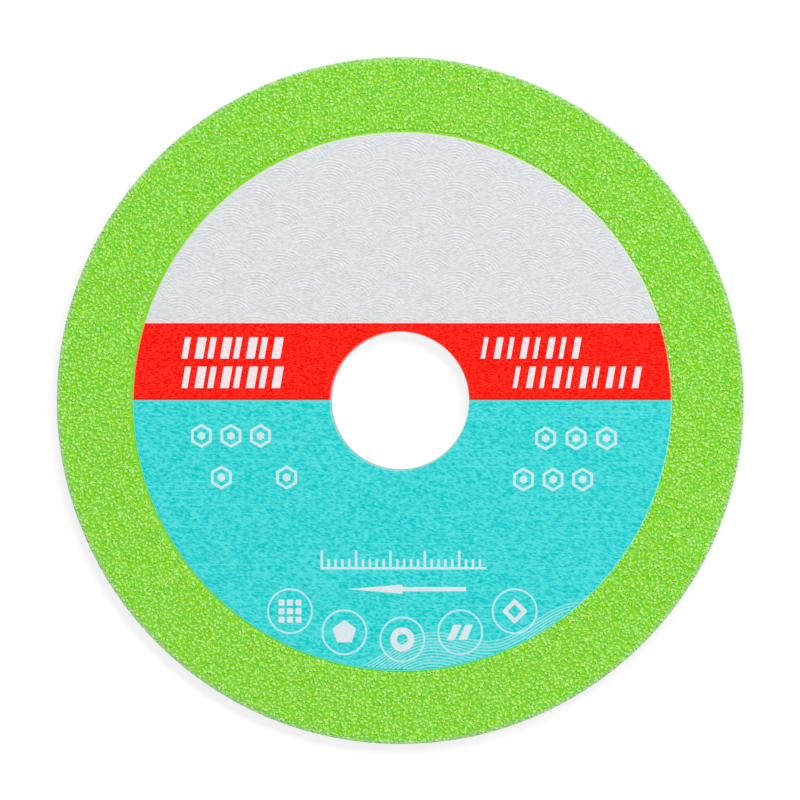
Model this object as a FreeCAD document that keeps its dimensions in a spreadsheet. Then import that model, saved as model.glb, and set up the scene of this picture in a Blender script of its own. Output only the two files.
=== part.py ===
import FreeCAD, Part
import os
import Sketcher

# A thin diamond saw blade for cutting tile and stone: a plain steel disc with a bore,
# diamond grit brazed over both faces and the edge of its rim, and a round printed film
# stuck on its front. The origin is the middle of the bore, halfway through the steel.
# +Z leaves the printed face, and +Y is the top of the print.

SIZES = [
    ("blade_diameter", 100.0, "across the blade, over the grit"),
    ("bore_diameter", 20.0, "hole for the arbor"),
    ("core_thickness", 1.0, "steel disc"),
    ("bore_bevel", 0.08, "deburred corner at both mouths of the bore"),
    ("band_width", 10.4, "grit band, from the blade's edge inwards"),
    ("face_coat", 0.3, "grit standing on each face"),
    ("edge_coat", 0.3, "grit standing on the edge"),
    ("coat_rise", 0.2, "run over which the grit climbs from the steel"),
    ("coat_round", 0.25, "rounding of the grit at the blade's edge"),
    ("label_margin", 0.35, "bare ring between the film and the grit, were the film centred"),
    ("label_thickness", 0.12, "printed film"),
    ("label_hole_gap", 0.18, "film set back from the bore, all round"),
    ("label_shift_right", 0.28, "film stuck off centre, towards +X"),
    ("label_shift_down", 0.17, "film stuck off centre, towards -Y"),
]

# Radii and heights that more than one sub-part is built from
BORE_RADIUS = "sizes.bore_diameter / 2"
CORE_RADIUS = "sizes.blade_diameter / 2 - sizes.edge_coat"
BAND_RADIUS = "sizes.blade_diameter / 2 - sizes.band_width"
BLADE_RADIUS = "sizes.blade_diameter / 2"
CORE_TOP = "sizes.core_thickness / 2"
COAT_TOP = "sizes.core_thickness / 2 + sizes.face_coat"


def write_sizes(doc):
    """Puts the driving dimensions in a sheet, one row each, and names every value's cell."""
    sheet = doc.addObject("Spreadsheet::Sheet", "sizes")
    for row, (name, value, meaning) in enumerate(SIZES, start=1):
        sheet.set(f"A{row}", meaning)
        sheet.set(f"B{row}", str(value))
        sheet.setAlias(f"B{row}", name)
    doc.recompute()


def amount(item, expression):
    """What an expression on the sheet's values comes to, for an object of the document."""
    return float(item.evalExpression(expression))


def new_sketch(body, name, plane):
    """A sketch on one of the body's own origin planes."""
    support = next(f for f in body.Origin.OriginFeatures if f.Role == plane)
    sketch = body.newObject("Sketcher::SketchObject", name)
    sketch.AttachmentSupport = [(support, "")]
    sketch.MapMode = "FlatFace"
    return sketch


def pin_point(sketch, geometry, end, across, up, name):
    """Places one point of a sketch by two distances from the sketch's origin."""
    for kind, expression, suffix in (("DistanceX", across, "across"), ("DistanceY", up, "up")):
        distance = Sketcher.Constraint(kind, -1, 1, geometry, end, amount(sketch, expression))
        sketch.renameConstraint(sketch.addConstraint(distance), f"{name}_{suffix}")
        sketch.setExpression(f"Constraints.{name}_{suffix}", expression)


def draw_outline(sketch, corners):
    """Draws a closed outline through named corners, each a pair of expressions."""
    points = [
        FreeCAD.Vector(amount(sketch, across), amount(sketch, up), 0) for _, across, up in corners
    ]
    for index, start in enumerate(points):
        stop = points[(index + 1) % len(points)]
        sketch.addGeometry(Part.LineSegment(start, stop), False)
    for index, (name, across, up) in enumerate(corners):
        previous = (index - 1) % len(corners)
        sketch.addConstraint(Sketcher.Constraint("Coincident", previous, 2, index, 1))
        pin_point(sketch, index, 1, across, up, name)


def draw_circle(sketch, name, radius, centre=None):
    """Draws a circle about the sketch's origin, or about a centre given by two expressions."""
    across, up = centre or ("0", "0")
    middle = FreeCAD.Vector(amount(sketch, across), amount(sketch, up), 0)
    circle = Part.Circle(middle, FreeCAD.Vector(0, 0, 1), amount(sketch, radius))
    index = sketch.addGeometry(circle, False)
    if centre is None:
        sketch.addConstraint(Sketcher.Constraint("Coincident", index, 3, -1, 1))
    else:
        pin_point(sketch, index, 3, across, up, name)
    size = Sketcher.Constraint("Radius", index, amount(sketch, radius))
    sketch.renameConstraint(sketch.addConstraint(size), f"{name}_radius")
    sketch.setExpression(f"Constraints.{name}_radius", radius)


def turn(body, name, sketch):
    """Turns a half section once round the Z axis, keeping the edges between its corners."""
    solid = body.newObject("PartDesign::Revolution", name)
    solid.Profile = sketch
    solid.ReferenceAxis = (sketch, ["V_Axis"])
    solid.Angle = 360
    solid.Refine = False
    return solid


def make_steel_core(doc):
    """A flat disc with a bevelled bore. An edge on each face marks where the grit begins."""
    body = doc.addObject("PartDesign::Body", "SteelCore")
    body.Label = "steel_core"
    bore_mouth = f"{BORE_RADIUS} + sizes.bore_bevel"
    bore_lip = f"{CORE_TOP} - sizes.bore_bevel"
    section = new_sketch(body, "CoreSection", "XZ_Plane")
    draw_outline(section, [
        ("front_mouth", bore_mouth, CORE_TOP),
        ("front_band", BAND_RADIUS, CORE_TOP),
        ("front_edge", CORE_RADIUS, CORE_TOP),
        ("back_edge", CORE_RADIUS, f"-({CORE_TOP})"),
        ("back_band", BAND_RADIUS, f"-({CORE_TOP})"),
        ("back_mouth", bore_mouth, f"-({CORE_TOP})"),
        ("back_lip", BORE_RADIUS, f"-({bore_lip})"),
        ("front_lip", BORE_RADIUS, bore_lip),
    ])
    turn(body, "CoreDisc", section)
    return body


def make_diamond_rim(doc):
    """Brazed grit in one U-shaped coat over both faces and the edge of the disc's rim."""
    body = doc.addObject("PartDesign::Body", "DiamondRim")
    body.Label = "diamond_rim"
    shoulder = f"{BAND_RADIUS} + sizes.coat_rise"
    section = new_sketch(body, "RimSection", "XZ_Plane")
    draw_outline(section, [
        ("front_toe", BAND_RADIUS, CORE_TOP),
        ("front_seat", CORE_RADIUS, CORE_TOP),
        ("back_seat", CORE_RADIUS, f"-({CORE_TOP})"),
        ("back_toe", BAND_RADIUS, f"-({CORE_TOP})"),
        ("back_shoulder", shoulder, f"-({COAT_TOP})"),
        ("back_corner", BLADE_RADIUS, f"-({COAT_TOP})"),
        ("front_corner", BLADE_RADIUS, COAT_TOP),
        ("front_shoulder", shoulder, COAT_TOP),
    ])
    coat = turn(body, "RimCoat", section)
    doc.recompute()
    rounding = body.newObject("PartDesign::Fillet", "RimRounding")
    rounding.Base = (coat, outer_corners(coat.Shape, section))
    rounding.setExpression("Radius", "min(sizes.coat_round; sizes.face_coat)")
    return body


def outer_corners(shape, section):
    """Names the circles where the coat's two faces meet its outer edge."""
    radius = amount(section, BLADE_RADIUS)
    return [
        f"Edge{index}"
        for index, edge in enumerate(shape.Edges, start=1)
        if isinstance(edge.Curve, Part.Circle) and abs(edge.Curve.Radius - radius) < 1e-6
    ]


def make_front_label(doc):
    """A round film on the front face, stuck a little off centre, with its hole on the bore."""
    body = doc.addObject("PartDesign::Body", "FrontLabel")
    body.Label = "front_label"
    outline = new_sketch(body, "LabelOutline", "XY_Plane")
    outline.setExpression("AttachmentOffset.Base.z", CORE_TOP)
    draw_circle(outline, "hole", f"{BORE_RADIUS} + sizes.label_hole_gap")
    draw_circle(
        outline, "rim", f"{BAND_RADIUS} - sizes.label_margin",
        centre=("sizes.label_shift_right", "-(sizes.label_shift_down)"),
    )
    film = body.newObject("PartDesign::Pad", "LabelFilm")
    film.Profile = outline
    film.setExpression("Length", "sizes.label_thickness")
    return body


def check(doc, bodies):
    """Stops at any object that failed to build, and at any sub-part that isn't one sound solid."""
    for item in doc.Objects:
        if "Invalid" in item.State or "Error" in item.State:
            raise RuntimeError(f"{item.Label} did not build: {item.State}")
    for body in bodies:
        shape = body.Shape
        if shape.isNull() or not shape.isValid() or len(shape.Solids) != 1:
            raise RuntimeError(f"{body.Label} is not one valid solid")


def main():
    doc = FreeCAD.newDocument("diamond_saw_blade")
    write_sizes(doc)
    bodies = [make_steel_core(doc), make_diamond_rim(doc), make_front_label(doc)]
    doc.recompute()
    check(doc, bodies)
    os.makedirs("parts", exist_ok=True)
    for body in bodies:
        body.Shape.exportStep(f"parts/{body.Label}.step")
        print(f"{body.Label}: {body.Shape.Volume:.2f} mm3")


main()
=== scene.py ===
"""Fine form and finish of a thin diamond saw blade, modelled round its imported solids.

Lengths are in metres in the blade's own frame: the origin is the middle of the bore, +Z leaves
the printed face, and +Y is the top of the print.
"""

import logging
import math
from dataclasses import dataclass
from enum import Enum
from typing import Sequence

import bmesh
import bpy
import numpy as np
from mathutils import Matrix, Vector, noise


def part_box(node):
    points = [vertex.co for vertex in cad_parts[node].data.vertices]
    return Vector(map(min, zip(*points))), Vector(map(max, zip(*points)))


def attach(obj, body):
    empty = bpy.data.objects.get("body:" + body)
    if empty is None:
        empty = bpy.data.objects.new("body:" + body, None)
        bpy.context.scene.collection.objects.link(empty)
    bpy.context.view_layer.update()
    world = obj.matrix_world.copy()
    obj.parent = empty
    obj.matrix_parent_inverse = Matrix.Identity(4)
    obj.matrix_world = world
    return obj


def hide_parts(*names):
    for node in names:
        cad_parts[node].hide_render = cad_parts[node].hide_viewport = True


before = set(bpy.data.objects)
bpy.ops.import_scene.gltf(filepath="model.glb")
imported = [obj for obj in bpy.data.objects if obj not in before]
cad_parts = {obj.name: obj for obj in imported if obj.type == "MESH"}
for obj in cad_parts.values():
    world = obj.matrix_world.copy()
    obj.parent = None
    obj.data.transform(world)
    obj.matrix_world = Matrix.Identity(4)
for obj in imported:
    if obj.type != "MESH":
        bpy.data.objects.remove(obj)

MM = 0.001
FULL_TURN = 2 * math.pi
BAKE_MAP = "OFBake"
INK_SINK = 0.004 * MM

log = logging.getLogger("saw_blade")

Colour = tuple[float, float, float, float]
Shade = tuple[int, int, int]
Point = tuple[float, float]


def tint(red: int, green: int, blue: int) -> Colour:
    """Turns an 8-bit screen colour into the linear colour that a shader takes.

    Args:
        red: Red, 0 to 255.
        green: Green, 0 to 255.
        blue: Blue, 0 to 255.

    Returns:
        The linear colour, with full alpha.
    """
    linear = [
        c / 12.92 if c <= 0.04045 else ((c + 0.055) / 1.055) ** 2.4
        for c in (red / 255, green / 255, blue / 255)
    ]
    return (*linear, 1.0)


@dataclass(frozen=True)
class BladeSizes:
    """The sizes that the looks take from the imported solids."""

    blade_radius: float
    band_radius: float
    core_top: float
    coat_top: float
    film_top: float
    film_centre: Point
    film_radius: float
    film_hole: float

    @classmethod
    def read(cls) -> "BladeSizes":
        """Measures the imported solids.

        Returns:
            Their sizes.
        """
        _, rim_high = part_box("diamond_rim")
        _, core_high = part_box("steel_core")
        film_low, film_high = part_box("front_label")
        middle = (film_low + film_high) / 2
        return cls(
            blade_radius=rim_high.x,
            band_radius=cls.inner_radius("diamond_rim"),
            core_top=core_high.z,
            coat_top=rim_high.z,
            film_top=film_high.z,
            film_centre=(middle.x, middle.y),
            film_radius=(film_high.x - film_low.x) / 2,
            film_hole=cls.inner_radius("front_label"),
        )

    @staticmethod
    def inner_radius(node: str) -> float:
        """Least distance of a solid's corners from the axis."""
        return min(math.hypot(v.co.x, v.co.y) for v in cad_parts[node].data.vertices)


class Signal:
    """One output socket of a material, with arithmetic for those that carry a number."""

    def __init__(self, board: "NodeBoard", socket: bpy.types.NodeSocket) -> None:
        """Keeps the socket and the board of nodes that it belongs to."""
        self.board = board
        self.socket = socket

    def _maths(self, operation: str, *terms: "Signal | float") -> "Signal":
        """Adds one Math node and returns its result."""
        node = self.board.add("ShaderNodeMath", {"operation": operation}, dict(enumerate(terms)))
        return Signal(self.board, node.outputs[0])

    def __add__(self, other: "Signal | float") -> "Signal":
        """The sum."""
        return self._maths("ADD", self, other)

    def __radd__(self, other: float) -> "Signal":
        """The sum, with a plain number on the left."""
        return self._maths("ADD", other, self)

    def __sub__(self, other: "Signal | float") -> "Signal":
        """The difference."""
        return self._maths("SUBTRACT", self, other)

    def __rsub__(self, other: float) -> "Signal":
        """The difference, with a plain number on the left."""
        return self._maths("SUBTRACT", other, self)

    def __mul__(self, other: "Signal | float") -> "Signal":
        """The product."""
        return self._maths("MULTIPLY", self, other)

    def __rmul__(self, other: float) -> "Signal":
        """The product, with a plain number on the left."""
        return self._maths("MULTIPLY", other, self)

    def __pow__(self, other: float) -> "Signal":
        """This number to a power."""
        return self._maths("POWER", self, other)

    def over(self, edge: float, soft: float) -> "Signal":
        """Rises smoothly from 0 to 1 as this number passes an edge.

        Args:
            edge: Value at which the result is one half.
            soft: Width of the rise.

        Returns:
            The mask.
        """
        node = self.board.add(
            "ShaderNodeMapRange",
            {"interpolation_type": "SMOOTHSTEP"},
            {"Value": self, "From Min": edge - soft / 2, "From Max": edge + soft / 2},
        )
        return Signal(self.board, node.outputs["Result"])


class NodeBoard:
    """The nodes of one material or of the world."""

    def __init__(self, owner: bpy.types.Material | bpy.types.World) -> None:
        """Clears the owner's nodes.

        Args:
            owner: The material or the world.
        """
        owner.use_nodes = True
        self.owner = owner
        self.tree = owner.node_tree
        self.tree.nodes.clear()

    @classmethod
    def for_material(cls, name: str) -> "NodeBoard":
        """Starts a material of that name."""
        return cls(bpy.data.materials.new(name))

    def add(self, kind: str, settings: dict | None = None, inputs: dict | None = None) -> bpy.types.Node:
        """Adds a node of any type.

        Args:
            kind: The node's type.
            settings: Properties to set before its sockets are filled.
            inputs: Values or links, by socket name or number.

        Returns:
            The node.
        """
        node = self.tree.nodes.new(kind)
        for name, value in (settings or {}).items():
            setattr(node, name, value)
        for key, value in (inputs or {}).items():
            self.feed(node.inputs[key], value)
        return node

    def feed(self, socket: bpy.types.NodeSocket, value: object) -> None:
        """Links a socket to a signal, or sets its constant.

        Args:
            socket: The socket.
            value: A signal, another node's output or a constant.
        """
        if isinstance(value, Signal):
            value = value.socket
        if isinstance(value, bpy.types.NodeSocket):
            self.tree.links.new(value, socket)
        else:
            socket.default_value = value

    def finish(self, **inputs: object) -> bpy.types.Material:
        """Ends a material with a Principled shader.

        Args:
            inputs: The shader's sockets, each named with underscores for its spaces.

        Returns:
            The material.
        """
        sockets = {
            name.replace("_", " ").title().replace("Ior", "IOR"): value
            for name, value in inputs.items()
        }
        shader = self.add("ShaderNodeBsdfPrincipled", {}, sockets)
        self.add("ShaderNodeOutputMaterial", {}, {"Surface": shader.outputs["BSDF"]})
        return self.owner

    def seen(self) -> Signal:
        """Tells what is looked at from what only gives light.

        Returns:
            1 where the camera, a reflection or glass sees the surface, and 0 for other light.
        """
        rays = self.add("ShaderNodeLightPath")
        camera, glossy, glass = (
            Signal(self, rays.outputs[f"Is {kind} Ray"])
            for kind in ("Camera", "Glossy", "Transmission")
        )
        return camera + glossy + glass

    def place(self, turn: float = 0.0, stretch: Sequence[float] = (1.0, 1.0, 1.0)) -> Signal:
        """Where a point lies in the blade's frame.

        Args:
            turn: Direction that a pattern's own X is turned to, in radians.
            stretch: How much longer a pattern is made along each of its own axes.

        Returns:
            The position in metres, for a pattern so turned and stretched.
        """
        spot = self.add("ShaderNodeTexCoord").outputs["Object"]
        if turn or tuple(stretch) != (1.0, 1.0, 1.0):
            spot = self.add(
                "ShaderNodeMapping",
                {"vector_type": "TEXTURE"},
                {"Vector": spot, "Rotation": (0.0, 0.0, turn), "Scale": tuple(stretch)},
            ).outputs["Vector"]
        return Signal(self, spot)

    def axes(self, spot: Signal) -> tuple[Signal, Signal, Signal]:
        """Splits a position into its three numbers."""
        parts = self.add("ShaderNodeSeparateXYZ", {}, {"Vector": spot})
        return tuple(Signal(self, parts.outputs[axis]) for axis in "XYZ")

    def radius(self, centre: Point = (0.0, 0.0)) -> Signal:
        """Distance from an upright axis.

        Args:
            centre: Where the axis stands.

        Returns:
            The distance.
        """
        x, y, _ = self.axes(self.place())
        across, up = x - centre[0], y - centre[1]
        return (across * across + up * up) ** 0.5

    def grain(self, spot: Signal, pitch: float, detail: float = 2.0, rough: float = 0.5) -> Signal:
        """Smooth noise between 0 and 1.

        Args:
            spot: Where it is read.
            pitch: Typical size of its features, in metres.
            detail: Octaves of finer noise.
            rough: Share of each finer octave.

        Returns:
            The noise.
        """
        node = self.add(
            "ShaderNodeTexNoise",
            {},
            {"Vector": spot, "Scale": 1 / pitch, "Detail": detail, "Roughness": rough},
        )
        return Signal(self, node.outputs["Fac"])

    def blend(self, share: Signal | float, first: Signal | Colour, second: Signal | Colour) -> Signal:
        """Mixes two colours.

        Args:
            share: Share of the second colour.
            first: Colour at 0.
            second: Colour at 1.

        Returns:
            The mixed colour.
        """
        node = self.add(
            "ShaderNodeMix", {"data_type": "RGBA"}, {"Factor": share, 6: first, 7: second}
        )
        return Signal(self, node.outputs[2])

    def bump(self, height: Signal, depth: float) -> Signal:
        """A normal for fine relief between 0 and 1, whose whole height is the depth."""
        node = self.add("ShaderNodeBump", {}, {"Height": height, "Distance": depth, "Strength": 1.0})
        return Signal(self, node.outputs["Normal"])

    def tag(self, name: str) -> Signal:
        """A number that the mesh holds at each point."""
        node = self.add("ShaderNodeAttribute", {"attribute_name": name})
        return Signal(self, node.outputs["Fac"])


@dataclass(frozen=True)
class GrainPaint:
    """Gloss green paint over brazed grit, worn at the blade's edge; grain tops are paler as thin paint
    and as painted highlight.
    """

    name: str = "green_paint_on_grit"
    deep: Colour = tint(115, 206, 0)
    bright: Colour = tint(158, 238, 66)
    pale: Colour = tint(250, 253, 212)
    cool: Colour = tint(92, 208, 70)
    warm: Colour = tint(140, 206, 0)
    worn: Colour = tint(190, 228, 172)
    painted_sparkle: Colour = tint(238, 252, 206)
    edge: float = 50 * MM
    roughness: float = 0.5
    gloss: float = 0.4
    gloss_roughness: float = 0.26
    patch_pitch: float = 0.8 * MM
    speck_pitch: float = 0.23 * MM
    speck_depth: float = 0.03 * MM
    ragged: float = 0.8 * MM
    worn_width: float = 0.3 * MM
    worn_fade: float = 1.1 * MM

    def material(self) -> bpy.types.Material:
        """Mixes tones by place, paints grain tops paler and facets lighter or darker as painted light,
        and lets the outer edge wear to pale braze.

        Returns:
            The material.
        """
        board = NodeBoard.for_material(self.name)
        spot = board.place()
        # Painted light: crown and facet tone make grain tops paler, partly thin paint over diamond and
        # partly painted highlight, keep the deep green as painted shade in the valleys, and paint each
        # facet lighter or darker as a lit or shaded face.
        facet_shade, crown = board.tag("facet_shade"), board.tag("crown")
        patch = board.grain(spot, self.patch_pitch, 3.0)
        speck = board.grain(spot, self.speck_pitch, 2.0, 0.7)
        painted_light_and_tone = 0.45 * crown + 0.5 * facet_shade + 2.4 * (speck - 0.47)
        colour = board.blend(0.65 * patch.over(0.56, 0.18), self.deep, self.cool)
        colour = board.blend(0.65 * (1.0 - patch).over(0.57, 0.18), colour, self.warm)
        colour = board.blend(painted_light_and_tone.over(0.6, 1.0), colour, self.bright)
        # Near-white on the highest tops: partly bare diamond, partly a painted glint.
        colour = board.blend(0.30 * painted_light_and_tone**2.8, colour, self.pale)
        # Painted sparkle on the brightest grain tops.
        colour = board.blend(0.9 * (facet_shade * crown).over(1.04, 0.3), colour, self.painted_sparkle)
        ragged = board.radius() + (speck - 0.5) * self.ragged
        rim = ragged.over(self.edge - self.worn_width, self.worn_fade)
        return board.finish(
            base_color=board.blend(0.85 * rim, colour, self.worn),
            roughness=self.roughness,
            specular_ior_level=0.0,
            coat_weight=self.gloss * painted_light_and_tone.over(1.0, 0.9),
            coat_roughness=self.gloss_roughness,
            normal=board.bump(speck, self.speck_depth),
        )


@dataclass(frozen=True)
class GroundSteel:
    """Satin steel with circular grinding marks, and paint that laps in from the grit band."""

    name: str = "ground_steel"
    steel: Colour = tint(196, 198, 201)
    dull: Colour = tint(170, 172, 176)
    paint: Colour = tint(124, 210, 8)
    thin_paint: Colour = tint(164, 230, 98)
    paint_from: float = 38.7 * MM
    paint_fade: float = 0.08 * MM
    paint_ragged: float = 0.35 * MM
    ragged_pitch: float = 0.5 * MM
    speck_pitch: float = 0.3 * MM
    mark_pitch: float = 0.14 * MM
    mark_length: float = 3.0 * MM
    cloud_pitch: float = 9 * MM
    relief: float = 0.004 * MM
    roughness: float = 0.33

    def material(self) -> bpy.types.Material:
        """Draws the marks round the axis and lays the paint outside its ragged inner edge.

        Returns:
            The material.
        """
        board = NodeBoard.for_material(self.name)
        spot = board.place()
        radius = board.radius()
        x, y, z = board.axes(spot)
        turned = board.add("ShaderNodeMath", {"operation": "ARCTAN2"}, {0: y, 1: x})
        angle = Signal(board, turned.outputs[0])
        ring_place = board.add(
            "ShaderNodeCombineXYZ", {}, {"X": radius, "Y": angle * self.mark_length, "Z": z}
        )
        ring_spot = Signal(board, ring_place.outputs["Vector"])
        marks = board.grain(ring_spot, self.mark_pitch, 4.0, 0.65)
        cloud = board.grain(spot, self.cloud_pitch, 3.0)
        ragged = (board.grain(spot, self.ragged_pitch, 3.0, 0.6) - 0.5) * self.paint_ragged
        painted = (radius + ragged).over(self.paint_from, self.paint_fade)
        metal = board.blend(0.6 * marks + 0.5 * cloud - 0.1, self.steel, self.dull)
        speck = board.grain(spot, self.speck_pitch, 2.0, 0.6)
        paint = board.blend(0.8 * speck.over(0.54, 0.2), self.paint, self.thin_paint)
        return board.finish(
            base_color=board.blend(painted, metal, paint),
            metallic=1.0 - painted,
            roughness=self.roughness + 0.2 * (marks - 0.5) + 0.05 * painted,
            specular_ior_level=0.25,
            normal=board.bump(marks * (1.0 - painted) + 6.0 * speck * painted, self.relief),
        )


@dataclass(frozen=True)
class PrintedFilm:
    """Semi-gloss film, printed in one colour, with the fine streaked skin of its lacquer."""

    name: str
    colour: Colour
    streak: Colour
    border: Colour | None = None
    bare: Colour = tint(242, 244, 245)
    glint: Colour = tint(226, 250, 240)
    glint_share: float = 0.4
    centre: Point = (0.0, 0.0)
    reach: float = 0.0
    rub_middle: Point = (-0.12 * MM, -0.10 * MM)
    rub_share: float = 0.22
    hole: float = 0.0
    ink_margin: float = 0.13 * MM
    fade: float = 0.2 * MM
    dot_pitch: float = 0.42 * MM
    slant: float = -18.0
    length: float = 2.8
    contrast: float = 0.30
    banding: float = 0.0
    gloss: float = 0.12
    roughness: float = 0.42
    skin_depth: float = 0.020 * MM
    skin_pitch: float = 0.17 * MM
    line_pitch: float = 0.30 * MM
    line_length: float = 70.0

    def material(self) -> bpy.types.Material:
        """Streaks the colour and the skin along the same slanting grain, with faint print lines.

        Returns:
            The material.
        """
        board = NodeBoard.for_material(self.name)
        spot = board.place(math.radians(self.slant), (self.length, 1.0, 1.0))
        skin = board.grain(spot, self.skin_pitch, 2.0)
        lines = board.grain(board.place(0.0, (self.line_length, 1.0, 1.0)), self.line_pitch, 0.0)
        share = skin.over(0.5, self.contrast) + self.banding * lines.over(0.69, 0.05)
        colour = board.blend(share, self.streak, self.colour)
        if self.border:
            colour = self.faded(board, colour)
        return board.finish(
            base_color=colour,
            roughness=self.roughness + 0.1 * (skin - 0.5),
            specular_ior_level=self.gloss,
            normal=board.bump(skin, self.skin_depth),
        )

    def faded(self, board: NodeBoard, colour: Signal) -> Signal:
        """Lets the ink thin out at the film's edge, and the edge catch light on the right.

        Args:
            board: The material's nodes.
            colour: The ink's colour.

        Returns:
            The colour, up to the film's edge.
        """
        x, _, _ = board.axes(board.place())
        dots = board.grain(board.place(), self.dot_pitch, 1.0).over(0.5, 0.12)
        lit = dots * x.over(0.55 * self.reach, 0.5 * self.reach)
        border = board.blend(self.glint_share * lit, self.border, self.glint)
        thin = board.radius(self.centre).over(self.reach - self.ink_margin, self.fade)
        rubbed = 1.0 - board.radius(self.rub_middle).over(self.hole, 1.25 * self.fade)
        return board.blend(thin, board.blend(self.rub_share * rubbed, colour, self.bare), border)


class Finishes:
    """Every finish of the blade, each made once."""

    def __init__(self, sizes: BladeSizes) -> None:
        """Makes the materials.

        Args:
            sizes: The blade's sizes.
        """
        film = {"centre": sizes.film_centre, "reach": sizes.film_radius, "hole": sizes.film_hole}
        silver = {"slant": -3.0, "length": 3.6, "contrast": 0.42, "skin_depth": 0.006 * MM}
        ink = {"gloss": 0.04, **film}
        # The turquoise and hairline border is thin ink over the green, also made lighter as painted
        # light that lifts the shade at the film's edge on the side away from the lamp.
        green_edge = {"border": tint(116, 243, 172), **ink}
        self.grit = GrainPaint().material()
        self.steel = GroundSteel().material()
        self.silver = self.film(
            "silver_film", (229, 233, 236), (211, 215, 218),
            border=tint(204, 222, 160), **silver, **film,
        )
        self.silver_border = self.film("warm_silver_film", (229, 230, 226), (216, 216, 210), **silver)
        self.pale_edge = self.film("pale_stripe_edge", (254, 224, 224), (246, 206, 206))
        self.dark_edge = self.film("dark_stripe_edge", (100, 28, 32), (70, 16, 20), gloss=0.04)
        self.red = self.film(
            "red_print", (255, 52, 36), (250, 0, 0), border=tint(246, 188, 98),
            slant=-3.0, length=2.2, **ink,
        )
        self.shaded_red = self.film(
            "shaded_red_print", (236, 36, 24), (222, 18, 10), border=tint(238, 180, 92), **ink
        )
        self.hairline = self.film("pale_hairline", (104, 218, 216), (88, 210, 208), **green_edge)
        self.turquoise = self.film(
            "turquoise_print", (88, 226, 225), (0, 203, 202), slant=-13.0, length=2.1,
            contrast=0.35, banding=0.5, skin_pitch=0.25 * MM, glint_share=0.6, **green_edge,
        )
        self.white = self.film("white_print", (226, 236, 240), (212, 228, 232))
        self.warm_white = self.film("warm_white_print", (248, 238, 240), (240, 222, 226))
        self.cool_white = self.film("cool_white_print", (208, 238, 240), (194, 230, 233))
        self.ring_line = self.film("thin_white_print", (198, 236, 238), (180, 228, 230))
        self.wave_line = self.film("pale_turquoise_print", (152, 228, 227), (134, 222, 221))

    @staticmethod
    def film(
        name: str, colour: Shade, streak: Shade, **looks: float | Point | Colour
    ) -> bpy.types.Material:
        """The film, printed in one screen colour and streaked with another."""
        return PrintedFilm(name, tint(*colour), tint(*streak), **looks).material()


def put_piece(
    name: str,
    points: Sequence[Sequence[float]],
    faces: Sequence[Sequence[int]],
    material: bpy.types.Material,
    smooth: bool = False,
) -> bpy.types.Object:
    """Makes a mesh piece that rides on the blade.

    Args:
        name: The piece's name.
        points: Its corners, in metres.
        faces: Its faces, as corner numbers.
        material: Its finish.
        smooth: Whether its faces are shaded as one smooth surface.

    Returns:
        The piece.
    """
    mesh = bpy.data.meshes.new(name)
    mesh.from_pydata(points, [], faces)
    mesh.materials.append(material)
    mesh.polygons.foreach_set("use_smooth", [smooth] * len(mesh.polygons))
    mesh.update()
    piece = bpy.data.objects.new(name, mesh)
    bpy.context.scene.collection.objects.link(piece)
    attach(piece, "root")
    log.info("%s: %d faces", name, len(mesh.polygons))
    return piece


def map_flat(piece: bpy.types.Object, reach: float, facing: int) -> None:
    """Lays a flat piece's faces out as they are seen from its own side.

    Faces turned the other way go into a small copy in a corner of the map.

    Args:
        piece: The piece.
        reach: Half the width that the map spans.
        facing: 1 for a piece seen from +Z, -1 for one seen from -Z.
    """
    mesh = piece.data
    corners = np.empty(len(mesh.loops), np.int32)
    mesh.loops.foreach_get("vertex_index", corners)
    spots = np.empty(3 * len(mesh.vertices))
    mesh.vertices.foreach_get("co", spots)
    flat = spots.reshape(-1, 3)[corners, :2] / (2 * reach)
    upright, fill, copy_middle, copy_fill = 0.02, 0.998, 0.07, 0.12
    turned = np.array([p.normal.z * facing < upright for p in mesh.polygons])
    sides = np.array([p.loop_total for p in mesh.polygons])
    away = np.repeat(turned, sides)
    places = np.where(away[:, None], copy_middle + copy_fill * flat, 0.5 + fill * flat)
    mesh.uv_layers.new(name=BAKE_MAP).data.foreach_set("uv", places.ravel())


def put_print(
    name: str,
    points: Sequence[Sequence[float]],
    faces: Sequence[Sequence[int]],
    material: bpy.types.Material,
    reach: float,
) -> bpy.types.Object:
    """Makes a piece of the label, laid out as the label is.

    Args:
        name: The piece's name.
        points: Its corners, in metres.
        faces: Its faces, as corner numbers.
        material: Its finish.
        reach: Half the width of the label's map.

    Returns:
        The piece.
    """
    piece = put_piece(name, points, faces, material)
    map_flat(piece, reach, 1)
    return piece


def around(centre: Point, radius: float, count: int) -> list[Point]:
    """Points spaced evenly round a circle, anticlockwise from its top.

    Args:
        centre: Middle of the circle.
        radius: Its radius.
        count: Number of points.

    Returns:
        The points.
    """
    return [
        (
            centre[0] - radius * math.sin(FULL_TURN * i / count),
            centre[1] + radius * math.cos(FULL_TURN * i / count),
        )
        for i in range(count)
    ]


def runs_of(points: Sequence[Point], kept: Sequence[bool]) -> list[list[Point]]:
    """Splits a line into the stretches of it that are kept.

    Args:
        points: The line.
        kept: Whether each point is kept.

    Returns:
        The stretches of two points or more.
    """
    stretches: list[list[Point]] = [[]]
    for point, keep in zip(points, kept):
        if keep:
            stretches[-1].append(point)
        elif stretches[-1]:
            stretches.append([])
    return [stretch for stretch in stretches if len(stretch) > 1]


def both_sides(line: Sequence[Point], half: float) -> tuple[list[Point], list[Point]]:
    """The lines along the left and the right side of a line.

    Args:
        line: The line.
        half: How far each side lies from it.

    Returns:
        The left and the right side.
    """
    left, right = [], []
    for i, (x, y) in enumerate(line):
        before, after = line[max(i - 1, 0)], line[min(i + 1, len(line) - 1)]
        length = math.dist(before, after)
        across = (-(after[1] - before[1]) / length * half, (after[0] - before[0]) / length * half)
        left.append((x + across[0], y + across[1]))
        right.append((x - across[0], y - across[1]))
    return left, right


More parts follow.
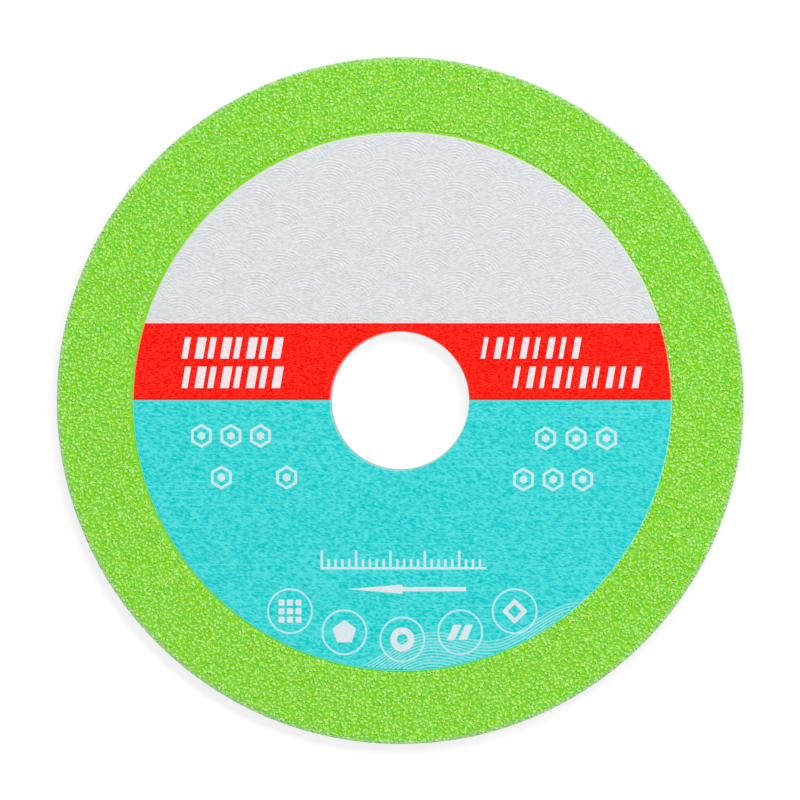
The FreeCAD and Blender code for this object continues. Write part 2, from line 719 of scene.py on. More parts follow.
@dataclass(frozen=True)
class GrainForm:
    """Ranges that each grain's form is drawn from: shares of its size, unless said otherwise."""

    size: float = 0.37 * MM
    sides: int = 5
    sink: float = 0.06 * MM
    corner_push: Point = (-0.3, 0.3)
    swell: Point = (0.7, 1.1)
    stretch: Point = (1.0, 1.4)
    girth: Point = (0.84, 1.08)
    crown: Point = (0.5, 0.72)
    crown_corners: Point = (0.75, 1.2)
    peak: Point = (0.2, 0.65)
    shoulder: Point = (0.45, 0.95)
    tip_push: float = 0.3
    swing: float = 0.85


@dataclass
class GritRim:
    """The brazed grit: a bumpy coat round the rim, and the grains that stand out of it."""

    sizes: BladeSizes
    finishes: Finishes
    form: GrainForm = GrainForm()
    seed: int = 7
    coat_height: float = 0.07 * MM
    coat_wave: float = 0.03 * MM
    coat_pitch: float = 0.5 * MM
    coat_step: float = 0.4 * MM
    coat_seat: float = 0.05 * MM
    coat_crown: float = 0.2
    coat_facet_shade: float = 0.4
    coat_sharp: float = 50.0
    corner: float = 0.22 * MM
    edge_room: float = 0.05 * MM
    toe_run: float = 0.2 * MM
    grain_gap: float = 0.635 * MM
    row_share: float = 0.87
    grain_push: float = 0.36
    grain_inset: float = 0.1 * MM
    edge_lap: float = 0.15 * MM
    film_gap: float = 0.03 * MM
    skin: float = 0.003 * MM

    def __post_init__(self) -> None:
        """Works out the coat's section, from the front toe round the edge to the back toe."""
        self.rng = np.random.default_rng(self.seed)
        self.top = self.sizes.core_top + self.coat_height
        self.outer = self.sizes.blade_radius - self.edge_room
        self.room = self.sizes.coat_top - self.top - self.skin
        self.face_run = self.outer - self.corner - self.sizes.band_radius
        self.corner_run = self.corner * math.pi / 2
        self.edge_run = 2 * (self.top - self.corner)
        self.whole_run = 2 * self.face_run + 2 * self.corner_run + self.edge_run

    def section(self, run: float) -> tuple[float, float, float, float]:
        """A point of the coat's section.

        Args:
            run: Distance along the section from the front toe.

        Returns:
            Its radius and height, and the outward normal's radial and vertical share.
        """
        back = run > self.whole_run / 2
        run = min(run, self.whole_run - run)
        if run <= self.face_run:
            radius, height, lean = self.sizes.band_radius + run, self.top, 0.0
        elif run <= self.face_run + self.corner_run:
            lean = (run - self.face_run) / self.corner
            radius = self.outer - self.corner + self.corner * math.sin(lean)
            height = self.top - self.corner + self.corner * math.cos(lean)
        else:
            lean = math.pi / 2
            radius = self.outer
            height = self.top - self.corner - (run - self.face_run - self.corner_run)
        side = -1.0 if back else 1.0
        return radius, side * height, math.sin(lean), side * math.cos(lean)

    def coat(self) -> bpy.types.Object:
        """Makes the coat of braze and paint between the grains, closed against the steel.

        Returns:
            The coat.
        """
        steps = int(self.whole_run / self.coat_step)
        runs = [self.whole_run * i / steps for i in range(steps + 1)]
        spokes = int(FULL_TURN * self.sizes.blade_radius / self.coat_step)
        seat = self.outer - self.coat_seat
        seats = [
            (self.sizes.band_radius, -self.sizes.core_top),
            (seat, -self.sizes.core_top),
            (seat, self.sizes.core_top),
            (self.sizes.band_radius, self.sizes.core_top),
        ]
        points = []
        for spoke in range(spokes):
            angle = FULL_TURN * spoke / spokes
            cos, sin = math.cos(angle), math.sin(angle)
            for run in runs:
                radius, height, out, up = self.section(run)
                spot = Vector((radius * cos, radius * sin, height))
                rise = self.coat_wave * noise.noise(spot / self.coat_pitch)
                toe = min(run, self.whole_run - run) / self.toe_run
                drop = self.coat_height * max(0.0, 1 - toe)
                radius = min(radius + out * rise, self.sizes.blade_radius - self.skin)
                height += up * (rise * min(1.0, toe) - drop)
                points.append((radius * cos, radius * sin, height))
            points += [(radius * cos, radius * sin, height) for radius, height in seats]
        ring = len(runs) + len(seats)
        faces = [
            (
                spoke * ring + i,
                (spoke + 1) % spokes * ring + i,
                (spoke + 1) % spokes * ring + (i + 1) % ring,
                spoke * ring + (i + 1) % ring,
            )
            for spoke in range(spokes)
            for i in range(ring)
        ]
        piece = put_piece("grit_coat", points, faces, self.finishes.grit, smooth=True)
        piece.data.set_sharp_from_angle(angle=math.radians(self.coat_sharp))
        # The coat takes a low crown and a darker facet tone, so that it stays in the valleys' painted
        # shade.
        crowns, facet_shades = np.full(len(points), self.coat_crown), np.full(len(faces), self.coat_facet_shade)
        self.set_tags(piece, crowns, facet_shades)
        self.map_round(piece, spokes, ring, runs)
        return piece

    def map_round(
        self, piece: bpy.types.Object, spokes: int, ring: int, runs: Sequence[float]
    ) -> None:
        """Lays the coat out as a flat ring, with the front toe outermost.

        Args:
            piece: The coat.
            spokes: Sections round the blade.
            ring: Points in a section.
            runs: Distance along the section of its points outside the steel.
        """
        middle, half, outside = 0.5, 0.499, 0.55
        seats = [0.42, 0.39, 0.36, 0.33]
        reach = [1 - run / self.whole_run * outside for run in runs] + seats[: ring - len(runs)]
        spots = []
        for spoke in range(spokes):
            angle = FULL_TURN * spoke / spokes
            cos, sin = math.cos(angle), math.sin(angle)
            spots += [(middle + half * r * cos, middle + half * r * sin) for r in reach]
        mesh = piece.data
        corners = np.empty(len(mesh.loops), np.int32)
        mesh.loops.foreach_get("vertex_index", corners)
        mesh.uv_layers.new(name=BAKE_MAP).data.foreach_set("uv", np.array(spots)[corners].ravel())

    def set_tags(self, piece: bpy.types.Object, crowns: np.ndarray, facet_shades: np.ndarray) -> None:
        """Stores how near each point is to its grain's top, and how light or dark each facet is painted,
        as painted shading.

        Args:
            piece: The piece.
            crowns: The first number, for each point.
            facet_shades: The second number, for each face.
        """
        for name, domain, values in (("crown", "POINT", crowns), ("facet_shade", "FACE", facet_shades)):
            layer = piece.data.attributes.new(name, "FLOAT", domain)
            layer.data.foreach_set("value", values.astype(np.float32))

    def scatter(self) -> np.ndarray:
        """Sets grains over the coat in rows, each pushed off its place at random.

        Returns:
            The distance along the section and the angle of each grain.
        """
        rows = int((self.whole_run - 2 * self.grain_inset) / (self.grain_gap * self.row_share))
        first, last = self.grain_inset, self.whole_run - self.grain_inset
        places = []
        for run in np.linspace(first, last, rows + 1):
            count = int(FULL_TURN * self.section(run)[0] / self.grain_gap)
            push = self.rng.uniform(-self.grain_push, self.grain_push, (2, count))
            runs = np.clip(run + push[0] * self.grain_gap, first, last)
            steps = np.arange(count) + self.rng.uniform(0, 1) + push[1]
            places.append(np.stack([runs, FULL_TURN / count * steps], axis=1))
        return np.concatenate(places)

    def grains(self, name: str, places: np.ndarray) -> bpy.types.Object:
        """Builds one closed, irregular crystal at each place, and joins them in one piece.

        Args:
            name: The piece's name.
            places: The distance along the section and the angle of each grain.

        Returns:
            The piece.
        """
        rng, form, count = self.rng, self.form, len(places)
        sides = form.sides
        each, corners = (count, 1), (count, sides)
        corner = FULL_TURN / sides * (np.arange(sides) + rng.uniform(*form.corner_push, corners))
        size = form.size * rng.uniform(*form.swell, each)
        stretch = rng.uniform(*form.stretch, each)
        long_way, short_way = size * stretch * np.cos(corner), size / stretch * np.sin(corner)
        girth = rng.uniform(*form.girth, corners)
        crown = rng.uniform(*form.crown, each) * rng.uniform(*form.crown_corners, corners)
        peak = self.room * rng.uniform(*form.peak, each)
        rings = [
            (girth * long_way, girth * short_way, 0 * girth - form.sink),
            (crown * long_way, crown * short_way, peak * rng.uniform(*form.shoulder, corners)),
            (*(form.tip_push * size * rng.uniform(-1, 1, (2, *each))), peak),
        ]
        turn = rng.uniform(0, FULL_TURN, each)
        cos, sin = np.cos(turn), np.sin(turn)
        rings = [(x * cos - y * sin, x * sin + y * cos, z) for x, y, z in rings]
        local = np.concatenate([np.stack(ring, axis=-1) for ring in rings], axis=1)
        points = self.seat(local, places).reshape(-1, 3)
        loop = [(i, (i + 1) % sides) for i in range(sides)]
        pattern = [tuple(reversed(range(sides)))]
        pattern += [(i, j, sides + j, sides + i) for i, j in loop]
        pattern += [(sides + i, sides + j, 2 * sides) for i, j in loop]
        step = local.shape[1]
        faces = [[base + i for i in face] for base in range(0, step * count, step) for face in pattern]
        piece = put_piece(name, points, faces, self.finishes.grit)
        # Painted facet shade: two opposite sides of each grain lighter and the rest darker, turned at
        # random for each grain.
        phase = rng.uniform(0, FULL_TURN, each)
        swing = form.swing * rng.uniform(0, 1, each) ** 2
        ring = 0.5 + swing * np.cos(2 * FULL_TURN / sides * np.arange(sides) + phase)
        facet_shades = np.concatenate([np.zeros(each), ring, ring], axis=1)
        # Crown is 0 at each grain's foot and 1 on its top; the painted highlight and shade follow it.
        self.set_tags(piece, np.tile([0.0] * sides + [1.0] * (sides + 1), count), facet_shades.ravel())
        return piece

    def seat(self, local: np.ndarray, places: np.ndarray) -> np.ndarray:
        """Turns each grain's own coordinates into the blade's frame, within the blade's size.

        Args:
            local: Points of each grain, with the third number along the coat's normal.
            places: The distance along the section and the angle of each grain.

        Returns:
            The points in the blade's frame.
        """
        section = np.array([self.section(run) for run in places[:, 0]])
        radius, height, out, up = section.T
        cos, sin = np.cos(places[:, 1]), np.sin(places[:, 1])
        normal = np.stack([out * cos, out * sin, up], axis=1)
        round_way = np.stack([-sin, cos, np.zeros_like(cos)], axis=1)
        across = np.cross(round_way, normal)
        origin = np.stack([radius * cos, radius * sin, height], axis=1)
        spots = (
            origin[:, None]
            + local[..., :1] * across[:, None]
            + local[..., 1:2] * round_way[:, None]
            + local[..., 2:] * normal[:, None]
        )
        reach = np.hypot(spots[..., 0], spots[..., 1])
        limit = self.sizes.blade_radius - self.skin
        spots[..., :2] *= np.minimum(1.0, limit / reach)[..., None]
        from_film = spots[..., :2] - self.sizes.film_centre
        clear = self.sizes.film_radius + self.film_gap
        clear = clear / np.hypot(from_film[..., 0], from_film[..., 1])
        spots[..., :2] += from_film * np.maximum(0.0, clear - 1.0)[..., None]
        spots[..., 2] = np.clip(spots[..., 2], -self.top - self.room, self.top + self.room)
        return spots

    def build(self) -> None:
        """Makes the coat and the grains of the front, the edge and the back."""
        pieces = [self.coat()]
        places = self.scatter()
        run = places[:, 0]
        turn_over = self.face_run - self.edge_lap
        front, back = run < turn_over, run > self.whole_run - turn_over
        for name, chosen, facing in (
            ("front_grains", front, 1),
            ("back_grains", back, -1),
            ("edge_grains", ~(front | back), 0),
        ):
            piece = self.grains(name, places[chosen])
            if facing:
                map_flat(piece, self.sizes.blade_radius, facing)
            pieces.append(piece)
        for piece in pieces:
            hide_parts("diamond_rim")


class Field(Enum):
    """Colour fields of the film, from its top down, each with the name of its finish."""

    SILVER = "silver"
    PALE_EDGE = "pale_edge"
    DARK_EDGE = "dark_edge"
    RED = "red"
    SHADED_RED = "shaded_red"
    HAIRLINE = "hairline"
    TURQUOISE = "turquoise"


@dataclass
class PrintedLabel:
    """The round film on the front, in its colour fields."""

    sizes: BladeSizes
    finishes: Finishes
    stripe_top: float = 11.235 * MM
    stripe_foot: float = 0.075 * MM
    pale_edge: float = 0.21 * MM
    dark_edge: float = 0.065 * MM
    shaded_edge: float = 0.27 * MM
    hairline: float = 0.275 * MM
    hole_lap: float = 0.12 * MM
    hole_middle: Point = (-0.04 * MM, -0.04 * MM)
    edge_slope: float = 0.28 * MM
    edge_height: float = 0.07 * MM
    print_margin: float = 0.14 * MM
    spokes: int = 360

    @property
    def print_edge(self) -> float:
        """Radius round the film's middle that the fine print keeps within."""
        return self.sizes.film_radius - self.print_margin

    @property
    def map_reach(self) -> float:
        """Half the width that the film's own map spans."""
        return 1.02 * self.sizes.film_radius

    def feet(self) -> dict[Field, float]:
        """How far down each field but the last reaches.

        Returns:
            The height of each field's lower border, from the top down.
        """
        return {
            Field.SILVER: self.stripe_top + self.pale_edge,
            Field.PALE_EDGE: self.stripe_top,
            Field.DARK_EDGE: self.stripe_top - self.dark_edge,
            Field.RED: self.stripe_foot + self.shaded_edge,
            Field.SHADED_RED: self.stripe_foot,
            Field.HAIRLINE: self.stripe_foot - self.hairline,
        }

    def field_at(self, height: float) -> Field:
        """The field that lies at some height on the film."""
        return next((name for name, foot in self.feet().items() if height > foot), Field.TURQUOISE)

    def film(self) -> bpy.types.Object:
        """Cuts the film into its colour fields and gives it its thickness.

        Returns:
            The film.
        """
        draft = bmesh.new()
        centre, radius = self.sizes.film_centre, self.sizes.film_radius
        lines = [
            around(self.hole_middle, self.sizes.film_hole - self.hole_lap, self.spokes),
            around(centre, radius - self.edge_slope, self.spokes),
            around(centre, radius, self.spokes),
        ]
        rings = [[draft.verts.new((x, y, self.sizes.core_top)) for x, y in line] for line in lines]
        for inner, outer in zip(rings, rings[1:]):
            for i in range(self.spokes):
                draft.faces.new((inner[i - 1], outer[i - 1], outer[i], inner[i]))
        for foot in self.feet().values():
            everything = draft.verts[:] + draft.edges[:] + draft.faces[:]
            bmesh.ops.bisect_plane(draft, geom=everything, plane_co=(0, foot, 0), plane_no=(0, 1, 0))
        for face in draft.faces:
            face.material_index = list(Field).index(self.field_at(face.calc_center_median().y))
        raised = bmesh.ops.extrude_face_region(draft, geom=draft.faces[:], use_keep_orig=True)
        for item in raised["geom"]:
            if isinstance(item, bmesh.types.BMVert):
                from_slope = math.dist(item.co.xy, centre) - (radius - self.edge_slope)
                share = max(0.0, from_slope / self.edge_slope)
                drop = self.sizes.film_top - self.sizes.core_top - self.edge_height
                item.co.z = self.sizes.film_top - share * drop
        bmesh.ops.recalc_face_normals(draft, faces=draft.faces[:])
        draft.verts.index_update()
        ordered = sorted(draft.faces, key=lambda face: sorted(corner.index for corner in face.verts))
        for number, face in enumerate(ordered):
            face.index = number
        draft.faces.sort()
        piece = put_piece("label_film", [], [], self.finishes.silver)
        for name in list(Field)[1:]:
            piece.data.materials.append(getattr(self.finishes, name.value))
        draft.to_mesh(piece.data)
        draft.free()
        map_flat(piece, self.map_reach, 1)
        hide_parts("front_label")
        return piece


@dataclass
class WaveRelief:
    """Fish-scale waves pressed into the silver part of the film, as fine raised arcs."""

    label: PrintedLabel
    finishes: Finishes
    scale_pitch: float = 7.28 * MM
    row_pitch: float = 3.28 * MM
    scale_radius: float = 3.68 * MM
    anchor: Point = (-10.34 * MM, 24.90 * MM)
    arc_pitch: float = 0.42 * MM
    arcs: int = 8
    widening: float = 1.18
    ridge_width: float = 0.30 * MM
    ridge_height: float = 0.036 * MM
    side_share: float = 0.42
    step: float = 0.36 * MM
    end_slack: float = 0.25
    wobble: float = 0.035 * MM
    wobble_pitch: float = 1.3 * MM
    height_pitch: float = 0.9 * MM
    height_swing: float = 0.6
    border_gap: float = 0.06 * MM
    scale_gap: float = 0.1 * MM
    warm_pitch: float = 9 * MM
    warm_from: float = 0.08

    def inside(self, x: float, y: float) -> bool:
        """Whether a point lies in the silver part, clear of its borders."""
        inside = math.dist((x, y), self.label.sizes.film_centre) < self.label.print_edge
        return inside and self.label.field_at(y - self.border_gap) is Field.SILVER

    def hidden(self, centre: Point, x: float, y: float) -> bool:
        """Whether a point of a scale lies beyond its own strip, or behind a scale in front.

        Args:
            centre: Middle of the scale.
            x: The point's place to the right.
            y: Its place upwards.

        Returns:
            Whether it is hidden.
        """
        if abs(x - centre[0]) > self.scale_pitch / 2:
            return True
        clear = self.scale_radius + self.scale_gap
        low = y - centre[1] + self.row_pitch
        return any(
            math.hypot((x - centre[0] - side * self.scale_pitch / 2) / self.widening, low) < clear
            for side in (-1, 1)
        )

    def arc(self, centre: Point, radius: float) -> list[list[Point]]:
        """The stretches of one arc that show.

        Args:
            centre: Middle of its scale.
            radius: Its radius upwards.

        Returns:
            Each stretch, as points.
        """
        sweep, fewest = math.pi + 2 * self.end_slack, 5
        count = max(fewest, int(sweep * radius / self.step))
        line = []
        for i in range(count + 1):
            angle = -self.end_slack + sweep * i / count
            spot = Vector((centre[0], centre[1] + radius, angle * MM)) / self.wobble_pitch
            reach = radius + self.wobble * noise.noise(spot)
            x = centre[0] + self.widening * reach * math.cos(angle)
            line.append((x, centre[1] + reach * math.sin(angle)))
        return runs_of(line, [self.inside(x, y) and not self.hidden(centre, x, y) for x, y in line])

    def ridge(self, line: list[Point], points: list, faces: list) -> None:
        """Adds one raised line with a triangular section and closed ends.

        Args:
            line: The line.
            points: Corners of the mesh so far.
            faces: Faces of the mesh so far.
        """
        base = len(points)
        floor = self.label.sizes.film_top - INK_SINK
        for (x, y), left, right in zip(line, *both_sides(line, self.ridge_width / 2)):
            level = abs(left[1] - right[1]) / self.ridge_width
            height = self.ridge_height * (self.side_share + (1 - self.side_share) * level**2)
            height *= 1 + self.height_swing * noise.noise(Vector((x, y, 0)) / self.height_pitch)
            points += [(*right, floor), (x, y, floor + height), (*left, floor)]
        last = base + 3 * (len(line) - 1)
        faces.append((base + 2, base + 1, base))
        faces.append((last, last + 1, last + 2))
        for i in range(base, last, 3):
            faces.append((i, i + 3, i + 4, i + 1))
            faces.append((i + 1, i + 4, i + 5, i + 2))
            faces.append((i + 2, i + 5, i + 3, i))

    def build(self) -> bpy.types.Object:
        """Presses the waves over the whole silver part.

        Returns:
            The waves.
        """
        reach = self.label.sizes.film_radius + self.scale_pitch
        points: list[tuple[float, float, float]] = []
        faces: list[tuple[int, ...]] = []
        borders: list[bool] = []
        rows = int(reach / self.row_pitch) + 1
        columns = int(reach / self.scale_pitch) + 2
        for row in range(-rows, rows + 1):
            for column in range(-columns, columns + 1):
                centre = (
                    self.anchor[0] + (column + (row % 2) / 2) * self.scale_pitch,
                    self.anchor[1] - row * self.row_pitch,
                )
                for number in range(self.arcs):
                    first = len(faces)
                    for stretch in self.arc(centre, self.scale_radius - number * self.arc_pitch):
                        self.ridge(stretch, points, faces)
                    patch = noise.noise(Vector((*centre, 0)) / self.warm_pitch)
                    warm = number == 0 and patch > self.warm_from
                    borders += [warm] * (len(faces) - first)
        reach = self.label.map_reach
        piece = put_print("label_wave_relief", points, faces, self.finishes.silver, reach)
        piece.data.materials.append(self.finishes.silver_border)
        piece.data.polygons.foreach_set("material_index", borders)
        return piece


class InkSheet:
    """Thin closed shapes of ink that stand a hair above the film, gathered in one piece."""

    def __init__(self, film_top: float, rise: float) -> None:
        """Starts an empty sheet.

        Args:
            film_top: Height of the film's surface.
            rise: How far the ink stands above it.
        """
        self.foot = film_top - INK_SINK
        self.top = film_top + rise
        self.points: list[tuple[float, float, float]] = []
        self.faces: list[tuple[int, ...]] = []

    def strip(self, left: Sequence[Point], right: Sequence[Point], closed: bool = False) -> None:
        """Adds the body between two lines that run the same way, with as many points each.

        Args:
            left: The line on the left of the way they run.
            right: The line on the right.
            closed: Whether they run round and meet themselves.
        """
        count, base = len(left), len(self.points)
        for height in (self.foot, self.top):
            for line in (left, right):
                self.points += [(x, y, height) for x, y in line]
        foot_left, foot_right, top_left, top_right = (base + k * count for k in range(4))
        for i in range(count if closed else count - 1):
            j = (i + 1) % count
            self.faces += [
                (top_right + i, top_right + j, top_left + j, top_left + i),
                (foot_left + i, foot_left + j, foot_right + j, foot_right + i),
                (top_left + i, top_left + j, foot_left + j, foot_left + i),
                (foot_right + i, foot_right + j, top_right + j, top_right + i),
            ]
        if not closed:
            last = count - 1
            self.faces += [
                (foot_left, foot_right, top_right, top_left),
                (foot_right + last, foot_left + last, top_left + last, top_right + last),
            ]

    def plate(self, outline: Sequence[Point]) -> None:
        """Adds a solid shape.

        Args:
            outline: Its outline, anticlockwise.
        """
        count, base = len(outline), len(self.points)
        for height in (self.foot, self.top):
            self.points += [(x, y, height) for x, y in outline]
        self.faces.append(tuple(base + i for i in reversed(range(count))))
        self.faces.append(tuple(base + count + i for i in range(count)))
        for i in range(count):
            j = (i + 1) % count
            self.faces.append((base + i, base + j, base + count + j, base + count + i))

    def bar(self, low: Point, high: Point, slant: float = 0.0) -> None:
        """Adds a bar between two corners, its top pushed sideways by the slant."""
        self.plate([low, (high[0], low[1]), (high[0] + slant, high[1]), (low[0] + slant, high[1])])

    def polygon(self, centre: Point, radius: float, sides: int, line: float = 0.0) -> None:
        """Adds a regular shape, solid or as an outline.

        Args:
            centre: Its middle.
            radius: Its outer radius.
            sides: Its number of sides, with a corner at the top.
            line: Width of its line, or 0 for a solid shape.
        """
        outer = around(centre, radius, sides)
        if line:
            inner = around(centre, radius - line / math.cos(math.pi / sides), sides)
            self.strip(inner, outer, closed=True)
        else:
            self.plate(outer)


@dataclass(frozen=True)
class PrintRow:
    """A row of plain shapes on the film."""

    left: float
    right: float
    middle: float
    count: int
    weight: float = 1.0


@dataclass
class LabelPrint:
    """The arrow, rings, waves and plain shapes printed on the film."""

    label: PrintedLabel
    finishes: Finishes
    rise: float = 0.012 * MM
    low_rise: float = 0.006 * MM
    arrow_tip: Point = (-7.84 * MM, -27.45 * MM)
    arrow_neck: float = 0.31 * MM
    arrow_tail: float = 9.56 * MM
    head_half: float = 0.67 * MM
    shaft_half: float = 0.32 * MM
    ring_count: int = 5
    ring_arc: float = 34.6 * MM
    ring_step: float = 14.1
    ring_radius: float = 3.33 * MM
    ring_line: float = 0.27 * MM
    ring_sides: int = 72
    tile: float = 0.86 * MM
    tile_pitch: float = 1.24 * MM
    solid_radius: float = 1.8 * MM
    disc_radius: float = 1.75 * MM
    disc_line: float = 0.95 * MM
    twin_lefts: Point = (-1.95 * MM, -0.25 * MM)
    twin_half: float = 1.1 * MM
    twin_width: float = 1.15 * MM
    twin_slant: float = 1.0 * MM
    rhomb_radius: float = 1.85 * MM
    rhomb_line: float = 0.6 * MM
    scale_start: Point = (-11.62 * MM, -24.59 * MM)
    scale_end: float = 12.54 * MM
    scale_pitch: float = 1.0 * MM
    tick_line: float = 0.36 * MM
    tick_group: int = 5
    tick_long: float = 2.75 * MM
    tick_short: float = 1.5 * MM
    bar_rows: tuple[PrintRow, ...] = (
        PrintRow(-31.86 * MM, -16.9 * MM, 7.66 * MM, 8),
        PrintRow(-31.86 * MM, -16.9 * MM, 3.37 * MM, 8),
        PrintRow(11.67 * MM, 26.8 * MM, 7.66 * MM, 8, 0.74),
        PrintRow(16.33 * MM, 35.6 * MM, 3.37 * MM, 10, 0.74),
    )
    bar_height: float = 3.12 * MM
    bar_width: float = 1.02 * MM
    bar_shares: Point = (0.85, 1.25)
    bar_slant: float = 0.55 * MM
    bar_shade: float = 0.10 * MM
    outline_rows: tuple[PrintRow, ...] = (
        PrintRow(-30.7 * MM, -18.61 * MM, -5.15 * MM, 3),
        PrintRow(-27.8 * MM, -14.8 * MM, -11.2 * MM, 2),
        PrintRow(19.39 * MM, 31.76 * MM, -5.5 * MM, 3),
        PrintRow(16.18 * MM, 28.27 * MM, -11.5 * MM, 3),
    )
    outline_radius: float = 1.75 * MM
    outline_line: float = 0.40 * MM
    outline_sides: int = 6
    outline_core: float = 0.36
    wave_level: float = -36.16 * MM
    wave_climb: float = 0.202
    wave_swell: float = 1.6 * MM
    wave_length: float = 21.5 * MM
    wave_start: float = -2.05 * MM
    wave_pitch: float = 0.445 * MM
    wave_width: float = 0.20 * MM
    wave_count: int = 20
    wave_left: float = -14 * MM
    wave_right: float = 32 * MM
    wave_step: float = 0.3 * MM

    def arrow(self, sheet: InkSheet) -> None:
        """Prints the long arrow that shows which way the blade turns.

        Args:
            sheet: Where it is printed.
        """
        x, y = self.arrow_tip
        sheet.plate([
            (x, y),
            (self.arrow_neck, y - self.head_half),
            (self.arrow_neck, y - self.shaft_half),
            (self.arrow_tail, y - self.shaft_half),
            (self.arrow_tail, y + self.shaft_half),
            (self.arrow_neck, y + self.shaft_half),
            (self.arrow_neck, y + self.head_half),
        ])

    def scale(self, sheet: InkSheet) -> None:
        """Prints a plain scale of ticks, the first of each group long.

        Args:
            sheet: Where it is printed.
        """
        x, y = self.scale_start
        sheet.bar((x, y), (self.scale_end, y + self.tick_line))
        ticks = int((self.scale_end - self.tick_line - x) / self.scale_pitch) + 1
        for i in range(ticks):
            left = x + i * self.scale_pitch
            height = self.tick_short if i % self.tick_group else self.tick_long
            sheet.bar((left, y + self.tick_line), (left + self.tick_line, y + height))

    def bars(self, sheet: InkSheet, row: PrintRow, grow: float = 0.0) -> None:
        """Prints a row of slanting bars, by turns narrow and wide.

        Args:
            sheet: Where they are printed.
            row: The row.
            grow: How much further each bar reaches all round.
        """
        pitch = (row.right - row.left) / row.count
        foot, top = row.middle - self.bar_height / 2, row.middle + self.bar_height / 2
        for i in range(row.count):
            width = row.weight * self.bar_width * self.bar_shares[i % 2]
            start = row.left + i * pitch
            sheet.bar((start - grow, foot - grow), (start + width + grow, top + grow), self.bar_slant)

    def outlines(self, sheet: InkSheet, row: PrintRow) -> None:
        """Prints a row of outlined six-sided shapes, each with a small one in its middle.

        Args:
            sheet: Where they are printed.
            row: The row.
        """
        start, stop = row.left + self.outline_radius, row.right - self.outline_radius
        for i in range(row.count):
            centre = (start + (stop - start) * i / (row.count - 1), row.middle)
            sheet.polygon(centre, self.outline_radius, self.outline_sides, self.outline_line)
            sheet.polygon(centre, self.outline_radius * self.outline_core, self.outline_sides)

    def ring_centre(self, number: int) -> Point:
        """Finds the middle of one of the rings.

        Args:
            number: Its number, from the left.

        Returns:
            The middle.
        """
        turn = math.radians(-90 + self.ring_step * (number - (self.ring_count - 1) / 2))
        x, y = self.label.sizes.film_centre
        return x + self.ring_arc * math.cos(turn), y + self.ring_arc * math.sin(turn)

    def ring_shapes(self, sheet: InkSheet) -> None:
        """Prints the plain shape in the middle of each ring.

        Args:
            sheet: Where they are printed.
        """
        tiles, solid, disc, twins, rhomb = (self.ring_centre(i) for i in range(self.ring_count))
        for across in (-1, 0, 1):
            for up in (-1, 0, 1):
                x = tiles[0] + across * self.tile_pitch - self.tile / 2
                y = tiles[1] + up * self.tile_pitch - self.tile / 2
                sheet.bar((x, y), (x + self.tile, y + self.tile))
        sheet.polygon(solid, self.solid_radius, 5)
        sheet.polygon(disc, self.disc_radius, 48, self.disc_line)
        for left in self.twin_lefts:
            x = twins[0] + left
            high = (x + self.twin_width, twins[1] + self.twin_half)
            sheet.bar((x, twins[1] - self.twin_half), high, self.twin_slant)
        sheet.polygon(rhomb, self.rhomb_radius, 4, self.rhomb_line)

    def waves(self, sheet: InkSheet) -> None:
        """Prints fine parallel wave lines that run off the film's lower right.

        Args:
            sheet: Where they are printed.
        """
        middle, edge = self.label.sizes.film_centre, self.label.print_edge - self.wave_width / 2
        for number in range(self.wave_count):
            level = self.wave_level - number * self.wave_pitch
            line = []
            for x in np.arange(self.wave_left, self.wave_right, self.wave_step):
                swell = math.sin(FULL_TURN * (x - self.wave_start) / self.wave_length)
                line.append((float(x), level + self.wave_climb * x + self.wave_swell * swell))
            for stretch in runs_of(line, [math.dist(p, middle) < edge for p in line]):
                sheet.strip(*both_sides(stretch, self.wave_width / 2))

    def build(self) -> None:
        """Prints the shapes, the rings and the waves, each colour as a piece of its own."""
        film_top = self.label.sizes.film_top
        warm, cool, white, rings = (InkSheet(film_top, self.rise) for _ in range(4))
        shade, waves = (InkSheet(film_top, self.low_rise) for _ in range(2))
        for row in self.bar_rows:
            self.bars(shade, row, self.bar_shade)
            self.bars(warm, row)
        for row in self.outline_rows:
            self.outlines(cool, row)
        self.scale(cool)
        self.arrow(white)
        self.ring_shapes(white)
        for number in range(self.ring_count):
            centre = self.ring_centre(number)
            rings.polygon(centre, self.ring_radius, self.ring_sides, self.ring_line)
        self.waves(waves)
        for name, sheet, finish in (
            ("label_bar_shade", shade, self.finishes.shaded_red),
            ("label_bars", warm, self.finishes.warm_white),
            ("label_outlines", cool, self.finishes.cool_white),
            ("label_white_print", white, self.finishes.white),
            ("label_rings", rings, self.finishes.ring_line),
            ("label_wave_lines", waves, self.finishes.wave_line),
        ):
            put_print(name, sheet.points, sheet.faces, finish, self.label.map_reach)


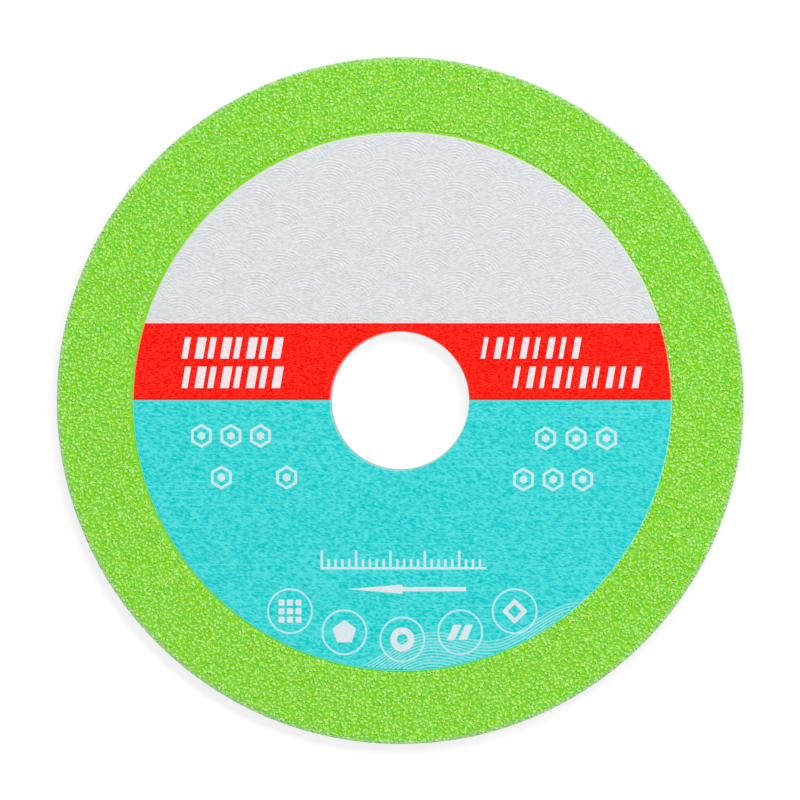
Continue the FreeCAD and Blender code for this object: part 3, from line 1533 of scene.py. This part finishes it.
@dataclass
class Studio:
    """White floor, plain soft light and the camera above the blade."""

    sizes: BladeSizes
    field_width: float = 116.42 * MM
    aim: Point = (-0.05 * MM, 0.075 * MM)
    lens: float = 300.0
    sensor: float = 36.0
    floor_half: float = 2.0
    floor_tone: float = 0.24
    floor_glow: float = 0.775
    world_level: float = 0.52
    key_power: float = 35.0
    key_way: float = 58.0
    key_height: float = 40.0
    key_far: float = 2.0
    key_long: float = 2.2
    key_wide: float = 0.45

    def camera(self) -> None:
        """Looks straight down, with the print's top upwards."""
        data = bpy.data.cameras.new("camera")
        data.lens = self.lens
        data.sensor_width = self.sensor
        data.clip_start = 0.01
        data.clip_end = 20.0
        eye = bpy.data.objects.new("camera", data)
        height = self.field_width * self.lens / self.sensor
        eye.location = (self.aim[0], self.aim[1], self.sizes.film_top + height)
        bpy.context.scene.collection.objects.link(eye)
        bpy.context.scene.camera = eye

    def floor(self) -> None:
        """A pale sheet under the blade, which keeps its shadow."""
        half, level = self.floor_half, -self.sizes.coat_top
        mesh = bpy.data.meshes.new("floor")
        corners = [(-half, -half), (half, -half), (half, half), (-half, half)]
        mesh.from_pydata([(*corner, level) for corner in corners], [], [(0, 1, 2, 3)])
        board = NodeBoard.for_material("studio_white")
        matt = board.add("ShaderNodeBsdfDiffuse", {}, {"Color": (*[self.floor_tone] * 3, 1.0)})
        glow = board.add("ShaderNodeEmission", {}, {"Strength": self.floor_glow * board.seen()})
        both = board.add(
            "ShaderNodeAddShader", {}, {0: matt.outputs["BSDF"], 1: glow.outputs["Emission"]}
        )
        board.add("ShaderNodeOutputMaterial", {}, {"Surface": both.outputs["Shader"]})
        mesh.materials.append(board.owner)
        sheet = bpy.data.objects.new("floor", mesh)
        bpy.context.scene.collection.objects.link(sheet)

    def key_lamp(self) -> None:
        """A long soft strip above the top of the print, which rakes over the grit."""
        data = bpy.data.lights.new("key_lamp", "AREA")
        data.shape = "RECTANGLE"
        data.size = self.key_long
        data.size_y = self.key_wide
        data.energy = self.key_power
        lamp = bpy.data.objects.new("key_lamp", data)
        way, height = math.radians(self.key_way), math.radians(self.key_height)
        level = math.cos(height)
        place = Vector((math.cos(way) * level, math.sin(way) * level, math.sin(height)))
        lamp.location = place * self.key_far
        lamp.rotation_euler = (-place).to_track_quat("-Z", "Y").to_euler()
        lamp.visible_camera = False
        bpy.context.scene.collection.objects.link(lamp)

    def world(self) -> None:
        """Even light from all round, white where the camera or a reflection sees it."""
        world = bpy.data.worlds.new("studio")
        bpy.context.scene.world = world
        board = NodeBoard(world)
        strength = self.world_level + (1.0 - self.world_level) * board.seen()
        light = board.add(
            "ShaderNodeBackground", {}, {"Color": (1.0, 1.0, 1.0, 1.0), "Strength": strength}
        )
        board.add("ShaderNodeOutputWorld", {}, {"Surface": light.outputs["Background"]})

    def build(self) -> None:
        """Sets the stage."""
        self.camera()
        self.floor()
        self.world()
        self.key_lamp()
        bpy.context.scene.view_settings.view_transform = "Standard"


def main() -> None:
    """Builds the blade's looks and its stage."""
    logging.basicConfig(level=logging.INFO, format="%(name)s: %(message)s")
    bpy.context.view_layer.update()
    sizes = BladeSizes.read()
    finishes = Finishes(sizes)
    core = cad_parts["steel_core"]
    core.data.materials.clear()
    core.data.materials.append(finishes.steel)
    log.info("steel_core: %d faces", len(core.data.polygons))
    GritRim(sizes, finishes).build()
    label = PrintedLabel(sizes, finishes)
    label.film()
    WaveRelief(label, finishes).build()
    LabelPrint(label, finishes).build()
    Studio(sizes).build()
    bpy.context.view_layer.update()


if __name__ == "__main__":
    main()
